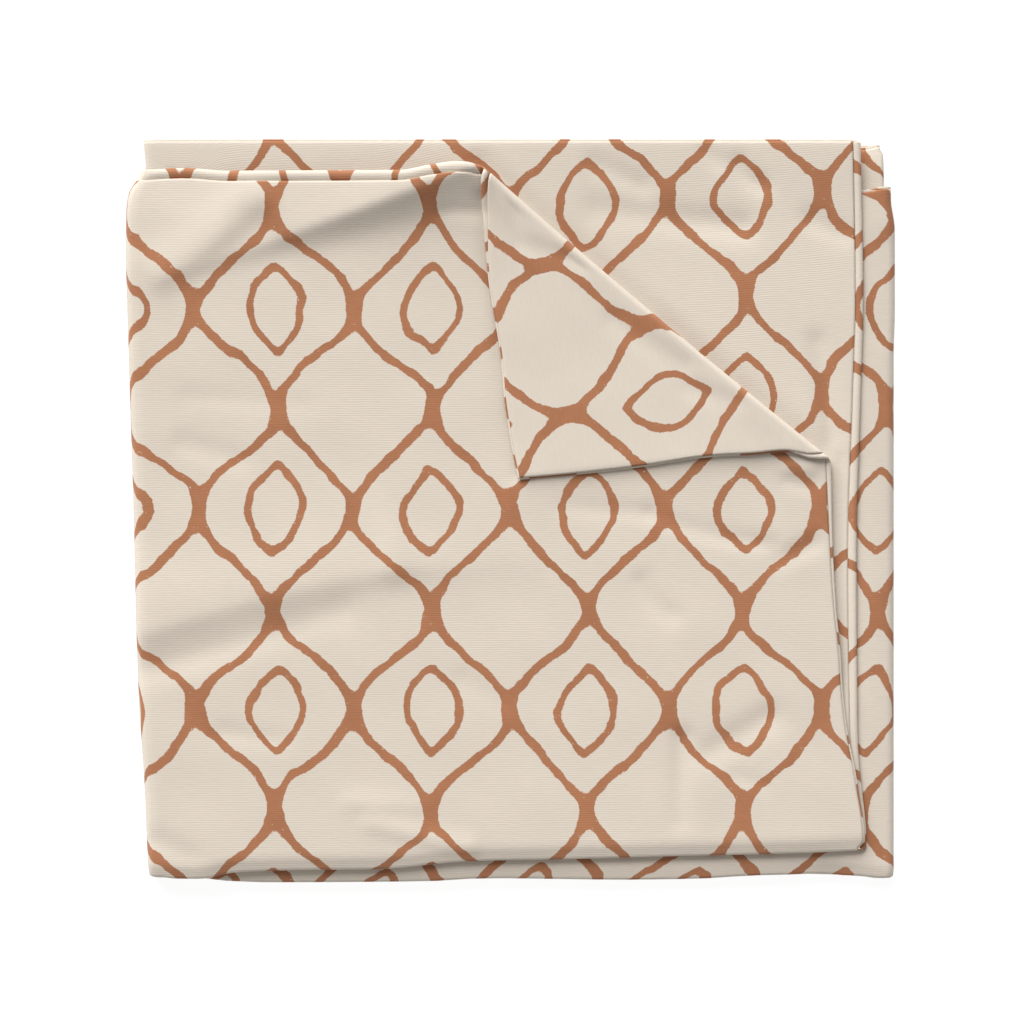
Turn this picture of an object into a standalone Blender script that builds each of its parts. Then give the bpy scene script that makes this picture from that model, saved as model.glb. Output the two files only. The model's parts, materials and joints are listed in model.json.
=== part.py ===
"""A printed cotton cloth, folded flat.

The cloth is one sheet with a rolled hem on its four sides. It is folded as a person folds it:
in half, with the half fold along the near edge (-Y); then in three like a letter, the right
third over the middle and the left third on top; then one corner of the uppermost layer is
turned back over a diagonal crease. Six layers lie on each other, a little apart.

The half fold gives the cloth two plies. The outer ply is the outside of the letter fold: it
lies on the table, and it is also the uppermost layer. The inner ply lies within it.

Metres, +Z up, +X to the right and +Y towards the hems. The origin is on the table, under the
middle of the folded cloth.
"""
import math
from typing import NamedTuple

import bmesh
import bpy
import numpy as np

MM = 0.001

# The sheet, and its rolled hem with the groove behind the roll
SHEET = 1.6 * MM
HEM_ROLL = 2.5 * MM
HEM_GROOVE = 1.3 * MM
HEM_EDGE = 1.4 * MM
HEM_WIDTH = 7.0 * MM
LAYER_STEP = 3.8 * MM

# Where the outer and the inner ply's hems lie, and the half fold, as a first estimate
OUTER_HEM_AT = 256.0 * MM
INNER_HEM_AT = 278.0 * MM
HALF_FOLD_AT = -270.0 * MM

# The corner turned back: the crease starts to bend along the line between two points of the
# uppermost layer, rolls over, and settles until it lies on the layer
CREASE_FROM = (-29.1 * MM, 262.7 * MM)
CREASE_TO = (241.1 * MM, 35.2 * MM)
CREASE_RADIUS = 4.5 * MM
CREASE_STEPS = 5
CORNER_GAP = 3.2 * MM
CORNER_SETTLES_IN = 48.0 * MM
CUT_MERGE = 0.3 * MM

# The uppermost layer is lofted a little, lower along its free hems and its half fold
TOP_LOFT = 1.5 * MM
EDGE_DROP = 0.7 * MM
EDGE_SETTLES_IN = 24.0 * MM
HALF_FOLD_SETTLES_IN = 14.0 * MM

# Past the outer ply's hems the inner ply has less under it, and sags by these layer steps
SAG_FROM = 257.0 * MM
SAG_TO = 280.0 * MM
BASE_INNER_SAG = 0.7
MIDDLE_INNER_SAG = 0.7
TOP_INNER_SAG = 1.6

# The mesh: steps across the cloth, from the free end on top to the free end inside, and rows
# along it, in millimetres from each ply's hem
TOP_STEPS = 17
LEFT_FOLD_STEPS = 8
BASE_STEPS = 5
RIGHT_FOLD_STEPS = 6
MIDDLE_STEPS = 7
HALF_FOLD_STEPS = 5
OUTER_ROWS = (0, 3.5, 7, 20, 33, 46, 60, 76, 98, 126, 158, 190, 222, 254, 288, 324, 360, 396,
              432, 468, 500, 516)
INNER_ROWS = (0, 3.5, 7, 20, 40, 70, 120, 190, 260, 330, 400, 470, 514)
OUTER_LENGTH = 528
INNER_LENGTH = 546
TOP_WIDTH = 530 * MM
MIDDLE_WIDTH = 540 * MM

CREAM = (0.716, 0.631, 0.533)
CLOTH_ROUGHNESS = 0.9

# The tables are in millimetres. Where the folds and the free ends run, as y and x of the
# outermost point there:
LEFT_FOLD_OUTER = (
    (-279, -271.4), (-265, -273.7), (-208, -276.3), (-132, -281.2), (8, -285.0),
    (132, -288.8), (204, -290.7), (230, -289.2), (247, -282.5), (257, -279.0),
)
LEFT_FOLD_INNER = (
    (-279, -264.5), (-132, -274.0), (8, -277.5), (204, -280.0),
    (240, -278.0), (257, -275.3), (280, -276.5),
)
RIGHT_FOLD_OUTER = (
    (-278, 288.8), (-265, 290.3), (132, 290.3), (160, 291.1), (223, 291.1), (246, 288.8),
)
RIGHT_FOLD_INNER = ((-278, 283.0), (0, 283.5), (247, 284.0), (272, 283.5), (277, 281.0))
TOP_END_OUTER = (
    (-255, 271.4), (-212, 264.6), (-185, 260.8), (-136, 255.5), (-38, 248.7),
    (44, 243.0), (278, 221.4),
)
TOP_END_INNER = (
    (-257, 269.9), (-185, 263.5), (-38, 263.1), (83, 266.1), (159, 267.6), (275, 265.5),
)
INSIDE_END = ((-280, -250.0), (0, -248.0), (280, -254.0))

# Where the hems run, as x and y:
TOP_HEM_OUTER = (
    (-279, 256.8), (-247, 258.5), (-212, 256.3), (-83, 256.3), (-60, 258.9),
    (-40, 262.7), (-29, 262.7), (221, 277.8),
)
TOP_HEM_INNER = ((-277, 278.6), (-268, 280.2), (257, 280.0), (263, 279.0), (268, 275.5))
MIDDLE_HEM_OUTER = ((-256, 244.0), (264, 241.5), (288, 246.0))
MIDDLE_HEM_INNER = ((-256, 277.0), (200, 276.0), (266, 274.0), (281, 277.0), (284, 275.5))

# Where the half fold runs, under the uppermost third and under the middle one, as x and y:
TOP_HALF_FOLD = (
    (-272, -274.0), (-253, -277.1), (-234, -277.8), (-208, -273.3), (-159, -272.5),
    (-101, -271.8), (-28, -265.7), (44, -264.2), (129, -261.9), (220, -259.7), (270, -257.4),
)
MIDDLE_HALF_FOLD = (
    (-261, -269.5), (-237, -277.1), (-187, -281.6), (-64, -280.9), (-17, -278.2),
    (87, -279.3), (144, -278.6), (182, -276.3), (239, -274.8), (289, -277.8),
)

# Soft ridges, and troughs where the height is negative: the place and the height of the two
# ends of each, and its half width
TOP_RIDGES = (
    # name                     x0    y0    h0    x1    y1    h1   half width
    ("lifted edge by crease", -196,  203,  2.5,  -31,  257,  8.0, 17),
    ("left diagonal",         -262,  186,  2.2, -204,  236,  3.2, 14),
    ("long ridge",            -280,  -90,  3.4,  -85,  -42,  2.2, 17),
    ("long trough",           -280, -124, -1.6, -120,  -76, -1.2, 15),
    ("right dip",              155, -166, -1.2,  196, -138, -1.8, 13),
    ("near corner dip",       -262, -250, -1.2, -232, -240, -1.2, 12),
)
INNER_RIDGES = (
    ("far side dip",            66,  226, -1.6,  178,  236, -2.2, 13),
    ("right hollow",           226,  130, -0.6,  230,   70, -1.8, 12),
)


class Ply(NamedTuple):
    """One ply of the half fold: its three layers' numbers from the table up, and its edges."""

    top_layer: int
    base_layer: int
    middle_layer: int
    left_fold: tuple
    right_fold: tuple
    top_end: tuple
    top_hem: tuple
    middle_hem: tuple
    hem_at: float


OUTER = Ply(5, 0, 3, LEFT_FOLD_OUTER, RIGHT_FOLD_OUTER, TOP_END_OUTER, TOP_HEM_OUTER,
            MIDDLE_HEM_OUTER, OUTER_HEM_AT)
INNER = Ply(4, 1, 2, LEFT_FOLD_INNER, RIGHT_FOLD_INNER, TOP_END_INNER, TOP_HEM_INNER,
            MIDDLE_HEM_INNER, INNER_HEM_AT)
SAGS = {
    INNER.base_layer: BASE_INNER_SAG,
    INNER.middle_layer: MIDDLE_INNER_SAG,
    INNER.top_layer: TOP_INNER_SAG,
}


def mix(a, b, share):
    return a + (b - a) * share


def ease(share):
    """0 to 1, with no slope at its ends."""
    share = min(max(share, 0.0), 1.0)
    return share * share * (3.0 - 2.0 * share)


def half_turn(share):
    """0 to 1, as the height of a point on a half circle."""
    return (1.0 - math.cos(math.pi * share)) / 2.0


def read(table, place):
    """The second column of a table at a place in its first."""
    places, values = zip(*table)
    return float(np.interp(place / MM, places, values)) * MM


def relief(ridges, x, y):
    """The height that soft ridges and troughs add at a place."""
    height = 0.0
    for _, x0, y0, h0, x1, y1, h1, half_width in ridges:
        run_x, run_y = x1 - x0, y1 - y0
        from_x, from_y = x / MM - x0, y / MM - y0
        share = (from_x * run_x + from_y * run_y) / (run_x**2 + run_y**2)
        share = min(max(share, 0.0), 1.0)
        away = math.hypot(from_x - share * run_x, from_y - share * run_y)
        height += mix(h0, h1, ease(share)) * math.exp(-((away / half_width) ** 2))
    return height * MM


def layer_level(layer):
    """The height of a layer's middle surface where it is flat."""
    return SHEET / 2 + layer * LAYER_STEP


def top_height(x, y):
    """The height of the uppermost layer's middle surface, before its corner is turned back."""
    from_hem = read(TOP_HEM_OUTER, x) - y
    from_end = read(TOP_END_OUTER, y) - x
    from_half_fold = y - read(TOP_HALF_FOLD, x)
    loft = mix(-EDGE_DROP, TOP_LOFT, ease(min(from_hem, from_end) / EDGE_SETTLES_IN))
    fade = ease(from_half_fold / HALF_FOLD_SETTLES_IN)
    return layer_level(OUTER.top_layer) + (loft + relief(TOP_RIDGES, x, y)) * fade


def layer_height(layer, x, y, thickness):
    """The height of any layer's middle surface. The lowest one lies flat on the table."""
    if layer == OUTER.base_layer:
        return thickness / 2
    if layer == OUTER.top_layer:
        return top_height(x, y)
    sag = SAGS.get(layer, 0.0) * LAYER_STEP * ease((y - SAG_FROM) / (SAG_TO - SAG_FROM))
    ridges = INNER_RIDGES if layer == INNER.top_layer else ()
    return layer_level(layer) - sag + relief(ridges, x, y)


def ply_point(ply, region, share, up, thickness):
    """A point of one ply, with the corner not yet turned back.

    region and share say where it lies across the cloth, and up goes from 0 at the half fold
    to 1 at the hem.
    """
    half_fold_inset = (SHEET + LAYER_STEP) / 2
    rough_y = mix(HALF_FOLD_AT, ply.hem_at, up)

    def reach(half_fold, hem, x):
        return mix(read(half_fold, x) + half_fold_inset, read(hem, x), up)

    left_radius = (ply.top_layer - ply.base_layer) * LAYER_STEP / 2
    right_radius = (ply.middle_layer - ply.base_layer) * LAYER_STEP / 2
    left_x = read(ply.left_fold, rough_y) + SHEET / 2 + left_radius
    right_x = read(ply.right_fold, rough_y) - SHEET / 2 - right_radius
    left_y = reach(TOP_HALF_FOLD, ply.top_hem, left_x)
    right_y = reach(MIDDLE_HALF_FOLD, ply.middle_hem, right_x)

    if region == "left fold":
        high = layer_height(ply.top_layer, left_x, left_y, thickness)
        low = layer_height(ply.base_layer, left_x, left_y, thickness)
        x = left_x - left_radius * math.sin(math.pi * share)
        return np.array((x, left_y, mix(high, low, half_turn(share))))
    if region == "right fold":
        low = layer_height(ply.base_layer, right_x, right_y, thickness)
        high = layer_height(ply.middle_layer, right_x, right_y, thickness)
        x = right_x + right_radius * math.sin(math.pi * share)
        return np.array((x, right_y, mix(low, high, half_turn(share))))
    if region == "top":
        x = mix(read(ply.top_end, rough_y), left_x, share)
        y = reach(TOP_HALF_FOLD, ply.top_hem, x)
        layer = ply.top_layer
    elif region == "base":
        x = mix(left_x, right_x, share)
        y = mix(left_y, right_y, share)
        layer = ply.base_layer
    else:
        x = mix(right_x, read(INSIDE_END, rough_y), share)
        y = reach(MIDDLE_HALF_FOLD, ply.middle_hem, x)
        layer = ply.middle_layer
    return np.array((x, y, layer_height(layer, x, y, thickness)))


def cloth_point(column, row, thickness):
    """A point of the cloth folded in half and in three."""
    region, share = column
    ply, up = row
    if ply:
        return ply_point(ply, region, share, up, thickness)
    outer = ply_point(OUTER, region, share, 0.0, thickness)
    inner = ply_point(INNER, region, share, 0.0, thickness)
    point = mix(outer, inner, half_turn(up))
    point[1] -= LAYER_STEP / 2 * math.sin(math.pi * up)
    return point


def columns():
    """The region and the share in it of each column of the mesh, across the whole cloth."""
    top_hem = HEM_WIDTH / TOP_WIDTH
    inside_hem = HEM_WIDTH / MIDDLE_WIDTH
    regions = (
        ("top", TOP_STEPS, top_hem, 1.0),
        ("left fold", LEFT_FOLD_STEPS, 0.0, 1.0),
        ("base", BASE_STEPS, 0.0, 1.0),
        ("right fold", RIGHT_FOLD_STEPS, 0.0, 1.0),
        ("middle", MIDDLE_STEPS, 0.0, 1.0 - inside_hem),
    )
    places = [("top", 0.0), ("top", top_hem / 2), ("top", top_hem)]
    for region, steps, first, last in regions:
        places += [(region, mix(first, last, k / steps)) for k in range(1, steps + 1)]
    return places + [("middle", 1.0 - inside_hem / 2), ("middle", 1.0)]


def rows():
    """The ply and the share up it of each row, from the outer hem to the inner one.

    In the half fold the ply is None, and the share is that of its half turn.
    """
    outer = [(OUTER, 1.0 - place / OUTER_LENGTH) for place in OUTER_ROWS]
    bend = [(None, k / HALF_FOLD_STEPS) for k in range(HALF_FOLD_STEPS + 1)]
    inner = [(INNER, 1.0 - place / INNER_LENGTH) for place in reversed(INNER_ROWS)]
    return outer + bend + inner


def thickness_at(steps_from_edge):
    """The thickness, by the steps of the mesh from the nearest edge of the cloth."""
    hem = (HEM_EDGE, HEM_ROLL, HEM_GROOVE)
    return hem[steps_from_edge] if steps_from_edge < len(hem) else SHEET


def past_crease(x, y):
    """How far a place is along the crease, how far past it, and the crease's two directions."""
    run_x, run_y = CREASE_TO[0] - CREASE_FROM[0], CREASE_TO[1] - CREASE_FROM[1]
    length = math.hypot(run_x, run_y)
    along = np.array((run_x, run_y)) / length
    out = np.array((-run_y, run_x)) / length
    from_start = np.array((x, y)) - CREASE_FROM
    return from_start @ along, from_start @ out, along, out


def turned_back(x, y):
    """Where a point past the crease goes: round the crease's roll, then back over the layer."""
    run, past, along, out = past_crease(x, y)
    past_roll = past - math.pi * CREASE_RADIUS
    angle = min(past / CREASE_RADIUS, math.pi)
    across = CREASE_RADIUS * math.sin(angle) - max(past_roll, 0.0)
    rise = CREASE_RADIUS * (1 - math.cos(angle))
    rise = mix(rise, CORNER_GAP, ease(past_roll / CORNER_SETTLES_IN))
    x, y = CREASE_FROM + run * along + across * out
    return x, y, top_height(x, y) + rise


def turn_corner_back(bm, is_top):
    """Cut the uppermost layer along the crease's roll, and turn its corner back."""
    _, _, _, out = past_crease(*CREASE_FROM)
    for k in range(CREASE_STEPS + 1):
        line = CREASE_FROM + math.pi * CREASE_RADIUS * k / CREASE_STEPS * out
        faces = [face for face in bm.faces if face[is_top]]
        edges = {edge for face in faces for edge in face.edges}
        verts = {vert for face in faces for vert in face.verts}
        bmesh.ops.bisect_plane(
            bm, geom=[*faces, *edges, *verts], dist=CUT_MERGE,
            plane_co=(*line, 0.0), plane_no=(*out, 0.0),
        )
    for vert in {vert for face in bm.faces if face[is_top] for vert in face.verts}:
        if past_crease(vert.co.x, vert.co.y)[1] > 0.0:
            vert.co = turned_back(vert.co.x, vert.co.y)


def folded_sheet():
    """The cloth's middle surface. Each vertex's weight is its share of the thickest hem."""
    across, down = columns(), rows()
    last_column, last_row = len(across) - 1, len(down) - 1
    top_columns = sum(region == "top" for region, _ in across)
    outer_rows = sum(ply is OUTER for ply, _ in down)
    bm = bmesh.new()
    weights = bm.verts.layers.deform.verify()
    is_top = bm.faces.layers.int.new("uppermost layer")
    bmesh.ops.create_grid(bm, x_segments=last_column, y_segments=last_row, size=1.0)
    places = {
        vert: (round((vert.co.x + 1) / 2 * last_column), round((vert.co.y + 1) / 2 * last_row))
        for vert in bm.verts
    }
    for face in bm.faces:
        corners = [places[vert] for vert in face.verts]
        face[is_top] = int(all(i < top_columns and j < outer_rows for i, j in corners))
    for vert, (i, j) in places.items():
        thickness = thickness_at(min(i, last_column - i, j, last_row - j))
        vert[weights][0] = thickness / HEM_ROLL
        vert.co = cloth_point(across[i], down[j], thickness)
    turn_corner_back(bm, is_top)
    bmesh.ops.recalc_face_normals(bm, faces=bm.faces)
    mesh = bpy.data.meshes.new("cloth")
    bm.to_mesh(mesh)
    bm.free()
    return mesh


def cotton():
    material = bpy.data.materials.new("printed cotton")
    material.use_nodes = True
    shader = material.node_tree.nodes["Principled BSDF"]
    shader.inputs["Base Color"].default_value = (*CREAM, 1.0)
    shader.inputs["Roughness"].default_value = CLOTH_ROUGHNESS
    shader.inputs["Metallic"].default_value = 0.0
    return material


def make_cloth(collection):
    """The folded sheet, with its thickness put half on each side of its middle surface."""
    mesh = folded_sheet()
    mesh.materials.append(cotton())
    mesh.shade_smooth()
    cloth = bpy.data.objects.new("cloth", mesh)
    collection.objects.link(cloth)
    cloth.vertex_groups.new(name="thickness")
    solid = cloth.modifiers.new("thickness", "SOLIDIFY")
    solid.thickness = HEM_ROLL
    solid.offset = 0.0
    solid.use_even_offset = True
    solid.use_rim = True
    solid.vertex_group = "thickness"


def main():
    for obj in list(bpy.data.objects):
        bpy.data.objects.remove(obj, do_unlink=True)
    collection = bpy.data.collections.new("folded cloth")
    bpy.context.scene.collection.children.link(collection)
    make_cloth(collection)


main()
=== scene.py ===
"""Looks for the folded printed cloth: its sheet, its wrinkles, its hems, its print and its weave.

The cloth is one sheet. It is worked out as a grid over the whole cloth, laid flat, and every
point of that grid is then carried to its place in the folded stack. A half fold along the near
edge makes two plies, and a letter fold lays them in three, which makes six layers. Last, one
corner of the uppermost layer is turned back over a rounded crease. The flat cloth's own
coordinates are kept as the piece's UV map, in metres, so the print and the ribs of the weave
follow the cloth round each fold.

The printed lattice of ogees, with a small ogee in every second one, is a plain, generic one.
"""
import json
import math
from typing import NamedTuple

import bmesh
import bpy
import numpy as np
from bpy.props import FloatProperty, FloatVectorProperty, PointerProperty
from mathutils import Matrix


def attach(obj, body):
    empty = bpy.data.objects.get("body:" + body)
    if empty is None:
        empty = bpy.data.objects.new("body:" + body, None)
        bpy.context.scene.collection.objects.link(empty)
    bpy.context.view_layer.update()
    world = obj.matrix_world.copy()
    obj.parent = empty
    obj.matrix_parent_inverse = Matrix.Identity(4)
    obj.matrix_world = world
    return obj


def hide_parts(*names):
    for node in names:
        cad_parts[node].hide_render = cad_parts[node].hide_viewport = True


bl_info = {
    "name": "Folded printed cloth",
    "version": (1, 0, 0),
    "blender": (4, 5, 0),
    "location": "3D View > Sidebar > Folded Cloth",
    "description": "Builds a folded block-printed cotton cloth and a pale stage to see it on",
    "category": "Object",
}

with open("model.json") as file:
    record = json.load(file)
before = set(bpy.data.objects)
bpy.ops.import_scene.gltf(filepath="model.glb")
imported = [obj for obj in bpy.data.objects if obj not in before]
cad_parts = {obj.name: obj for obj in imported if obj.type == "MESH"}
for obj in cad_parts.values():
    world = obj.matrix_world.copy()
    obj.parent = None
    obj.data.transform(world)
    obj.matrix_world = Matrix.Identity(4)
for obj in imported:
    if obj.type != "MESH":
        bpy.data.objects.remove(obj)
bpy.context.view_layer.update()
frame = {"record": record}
RECORD_CREAM = tuple(frame["record"]["materials"][0]["base_color"])

MM = 0.001
CLOTH = "folded_cloth"

# The stack. Its step, hems, half fold and sheet are those of the solid that it stands for
LAYER_STEP = 3.8 * MM
OUTER_HEM_AT = 256.0 * MM
INNER_HEM_AT = 278.0 * MM
HALF_FOLD_AT = -270.0 * MM
FRAME_SHEET = 1.6 * MM

# The corner turned back: its crease, its height over the layer as it leaves the crease, how
# far it takes to settle to that, and how much it sinks over a longer way towards its tip
CREASE_FROM = np.array((-29.1, 262.7)) * MM
CREASE_TO = np.array((241.1, 35.2)) * MM
CREASE_BOW = 2.3 * MM
CORNER_GAP = 4.2 * MM
CORNER_SETTLES_IN = 24.0 * MM
CORNER_SINKS = 1.6 * MM
CORNER_SINKS_IN = 160.0 * MM
CORNER_HEM_DROP = 0.2 * MM

# The flat cloth is cut along lines beside the crease, this many steps before it and past it.
# A cut that passes nearer than this to a corner of the grid goes through the corner
CREASE_CUTS = range(-2, 13)
CREASE_CUT_STEP = 1.4 * MM
CUT_MERGE = 0.15 * MM

# The uppermost layer rises from its free hems and rounds over at its half fold
EDGE_DROP = 0.3 * MM
EDGE_SETTLES_IN = 40.0 * MM
HALF_FOLD_DROP = 0.3 * MM
HALF_FOLD_SETTLES_IN = 10.0 * MM

# Every layer but the lowest droops over this distance to its half fold
NEAR_DROOP_IN = 12.0 * MM

# The left folds are pressed: their bulge is the sine of a half turn, to this power
PRESSED = 0.45

# Past the outer ply's hems the inner ply has less under it, and sags
SAG_FROM = 257.0 * MM
SAG_TO = 280.0 * MM

# The longest of the waves that make the layers' low swells
SWELL = 190.0 * MM
TOP_SWELL = 110.0 * MM

# The tables are in millimetres. Where the folds and the free ends run, as y and x:
LEFT_FOLD_OUTER = (
    (-279, -271.4), (-265, -273.7), (-208, -276.3), (-132, -281.2), (8, -285.0),
    (132, -288.8), (204, -290.7), (234, -290.3), (246, -288.8), (251, -286.5),
    (256, -283.0), (264, -279.2),
)
LEFT_FOLD_INNER = (
    (-279, -264.5), (-132, -274.0), (8, -277.5), (204, -280.0),
    (240, -277.0), (257, -275.6), (280, -277.6),
)
RIGHT_FOLD_OUTER = (
    (-278, 290.0), (-265, 291.5), (132, 291.5), (160, 292.4), (223, 292.4), (246, 289.4),
)
RIGHT_FOLD_INNER = ((-278, 283.0), (0, 283.5), (247, 284.0), (272, 283.5), (277, 281.0))
TOP_END_OUTER = (
    (-270, 264.5), (-266, 268.4), (-255, 267.8), (-227, 263.5), (-212, 261.2), (-185, 255.8),
    (-151, 251.8), (-121, 249.9), (-83, 246.3), (-30, 243.9), (30, 242.6), (42, 239.6),
    (50, 234.6), (58, 231.7), (83, 229.0), (107, 225.6), (126, 224.0), (157, 223.2),
    (208, 220.3), (271, 214.8),
)
TOP_END_INNER = (
    (-257, 269.9), (-185, 263.5), (-38, 262.6), (83, 265.6), (159, 267.6), (275, 265.5),
)
INSIDE_END = ((-280, -250.0), (0, -248.0), (280, -254.0))

# Where the hems run, as x and y:
TOP_HEM_OUTER = (
    (-279, 256.8), (-247, 258.5), (-212, 256.3), (-83, 256.3), (-60, 260.3), (-40, 262.7),
    (-30, 262.2), (-24, 260.6), (-17, 260.6), (-10, 263.8), (25, 267.0), (48, 268.4),
    (71, 269.6), (118, 269.1), (155, 271.8), (186, 272.4), (214, 271.7),
)
TOP_HEM_INNER = ((-277, 278.6), (-268, 280.2), (257, 280.0), (263, 279.0), (268, 275.5))
MIDDLE_HEM_OUTER = ((-256, 244.0), (264, 241.5), (288, 246.0))
MIDDLE_HEM_INNER = ((-256, 277.0), (200, 276.0), (266, 274.0), (281, 277.0), (284, 275.5))

# Where the half fold runs, under the uppermost third and under the middle one, as x and y:
TOP_HALF_FOLD = (
    (-272, -276.0), (-253, -279.0), (-234, -279.2), (-208, -274.3), (-159, -272.5),
    (-101, -271.8), (-28, -265.7), (44, -264.2), (129, -261.9), (220, -259.7), (270, -257.4),
)
MIDDLE_HALF_FOLD = (
    (-261, -271.5), (-237, -279.0), (-187, -282.3), (-64, -281.5), (-17, -279.2),
    (87, -280.3), (144, -279.5), (182, -277.2), (225, -275.9), (235, -274.6), (242, -276.2),
    (249, -277.2), (259, -276.6), (267, -277.4), (275, -278.9), (289, -279.3),
)

# How far the rolled hem peeps out past the cloth's crisp edge, as x, or y, and width:
TOP_ROLL_OUTER = (
    (-279, 8.3), (-60, 8.3), (-25, 8.0), (-3, 5.5), (27, 3.2), (57, 1.4), (218, 1.4),
)
END_ROLL_OUTER = (
    (-255, 1.4), (-136, 1.6), (-38, 2.6), (5, 3.8), (30, 4.8), (42, 3.4), (52, 1.6), (77, 1.4),
)
TOP_ROLL_INNER = ((-277, 1.6), (268, 1.6))
END_ROLL_INNER = ((-257, 5.6), (-185, 6.4), (-38, 7.0), (83, 6.6), (275, 6.2))
MIDDLE_ROLL = ((-256, 2.0), (288, 2.0))
INSIDE_ROLL = 7.0 * MM

# The lowest layers' half fold lies this far in from those of the layers on them
BASE_INSET = 5.0 * MM

# The section of a wide rolled hem: the share of its width from its outermost edge in to the
# crisp edge, its thickness in millimetres, and its drop in shares of the layer's hem drop. It
# stands up as a tube, with a furrow beside the crisp edge
ROLL_SECTION = (
    # share thickness drop
    (0.00, 0.6, 2.1),
    (0.06, 1.2, 1.2),
    (0.20, 1.7, 0.3),
    (0.40, 1.8, 0.1),
    (0.60, 1.7, 0.4),
    (0.77, 1.4, 0.8),
    (0.88, 1.2, 1.3),
    (0.95, 1.1, 1.4),
)

# That section is for a roll of this width, and a narrower roll is nearer to the plain edge's
# thickness. The cloth is nowhere thicker than the last of these
WIDE_ROLL = 8.3 * MM
PLAIN_EDGE = 1.2 * MM
THICKEST = 2.0 * MM


class Layer(NamedTuple):
    """One layer of the stack.

    Its sag past the outer hems is in layer steps, and its wrinkles are a share of those in
    its table. The height of its swells, the drop of its hems and its droop at the half fold
    are in millimetres.
    """

    name: str
    sag: float
    swell: float
    hem_drop: float
    droop: float
    wrinkles: float


# From the table up
LAYERS = (
    Layer("outer base", 0.0, 0.0, 0.0, 0.0, 0.0),
    Layer("inner base", 0.7, 0.3, 0.2, 0.8, 0.35),
    Layer("inner middle", 0.7, 0.3, 0.2, 1.6, 0.65),
    Layer("outer middle", 0.0, 0.3, 0.3, 2.5, 1.0),
    Layer("inner top", 0.0, 0.3, 0.8, 1.9, 1.0),
    Layer("outer top", 0.0, 0.35, 0.9, 3.6, 1.0),
)


class Wrinkle(NamedTuple):
    """A soft ridge, or a trough where its heights are negative. Millimetres.

    It runs from its first point to its second, bowed to its right by bow at its middle, with
    one half width on its right and another on its left, which spread by a factor from its
    first end to its second. Its power is 2 for a bell's crest, less for a sharper one, and 1
    for a tent with straight sides.
    """

    name: str
    x0: float
    y0: float
    x1: float
    y1: float
    bow: float
    h0: float
    h1: float
    right: float
    left: float
    power: float = 2.0
    spread: float = 1.0


TOP_WRINKLES = (
    Wrinkle("lifted edge by crease", -262, 176, -36, 256, 2, 0.6, 13.5, 6, 200, 1, 3.6),
    Wrinkle("foot of the lifted edge", -82, 240, -20, 248, 0, 2.6, 3.0, 38, 30),
    Wrinkle("step below turned corner", 9, 26, 213, 46, -1, 1.35, 1.35, 10, 60, 1),
    Wrinkle("crossing fold", -52, 225, -22, 225, -1, -1.3, -1.6, 5, 5),
    Wrinkle("left diagonal", -262, 178, -190, 236, 2, 2.5, 3.4, 12, 20),
    Wrinkle("hollow between ridges", -197, 222, -172, 198, 0, -1.4, -0.8, 13, 11),
    Wrinkle("long ridge", -280, -92, -88, -43, -4, 3.0, 2.2, 13, 44),
    Wrinkle("long ridge, right end", -88, -43, 12, -37, 0, 1.6, 0.3, 12, 34),
    Wrinkle("long trough", -280, -123, -128, -77, 0, -1.6, -1.0, 12, 11),
    Wrinkle("left dip", -216, -168, -174, -174, 0, -1.0, -0.8, 8, 8),
    Wrinkle("near corner dip", -266, -250, -242, -262, 0, -1.2, -1.0, 9, 8),
    Wrinkle("near fold", -106, -238, -30, -257, 0, 0.9, 1.6, 5, 9),
    Wrinkle("second near fold", -121, -222, -68, -224, 0, 0.8, 0.6, 6, 9),
    Wrinkle("curved dip", 101, -54, 122, -80, 3, -1.3, -1.2, 8, 8),
    Wrinkle("wrinkle below corner", 38, 2, 106, -2, 0, -0.6, -1.0, 6, 8),
    Wrinkle("wrinkle below corner, right", 106, -4, 198, -27, 3, -1.0, -1.3, 6, 8),
    Wrinkle("wedge at right edge", 230, -25, 203, -38, 0, -1.6, -1.3, 7, 8),
    Wrinkle("right dip", 150, -184, 197, -156, 0, -1.5, -1.9, 12, 10),
    Wrinkle("upright trough", 130, -172, 128, -236, 0, -2.2, -0.9, 7, 9),
    Wrinkle("middle dip", -34, -128, -6, -146, 0, -0.8, -0.6, 9, 9),
    Wrinkle("small dip", 171, -201, 190, -208, 0, -0.8, -0.6, 6, 6),
    Wrinkle("left mottling", -242, 85, -151, 79, 0, -0.6, -0.4, 7, 9),
    Wrinkle("left mottling, low", -246, 50, -206, 38, 0, -1.1, -0.9, 9, 9),
    Wrinkle("pucker at crease end", 215, 35, 228, 33, 0, 1.5, 1.7, 5, 5),
    Wrinkle("second pucker", 208, 32, 220, 27, 0, 0.8, 1.0, 4, 5, 1.5),
    Wrinkle("dip below pucker", 211, 22, 228, 18, 0, -1.3, -1.2, 6, 6),
)

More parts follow.
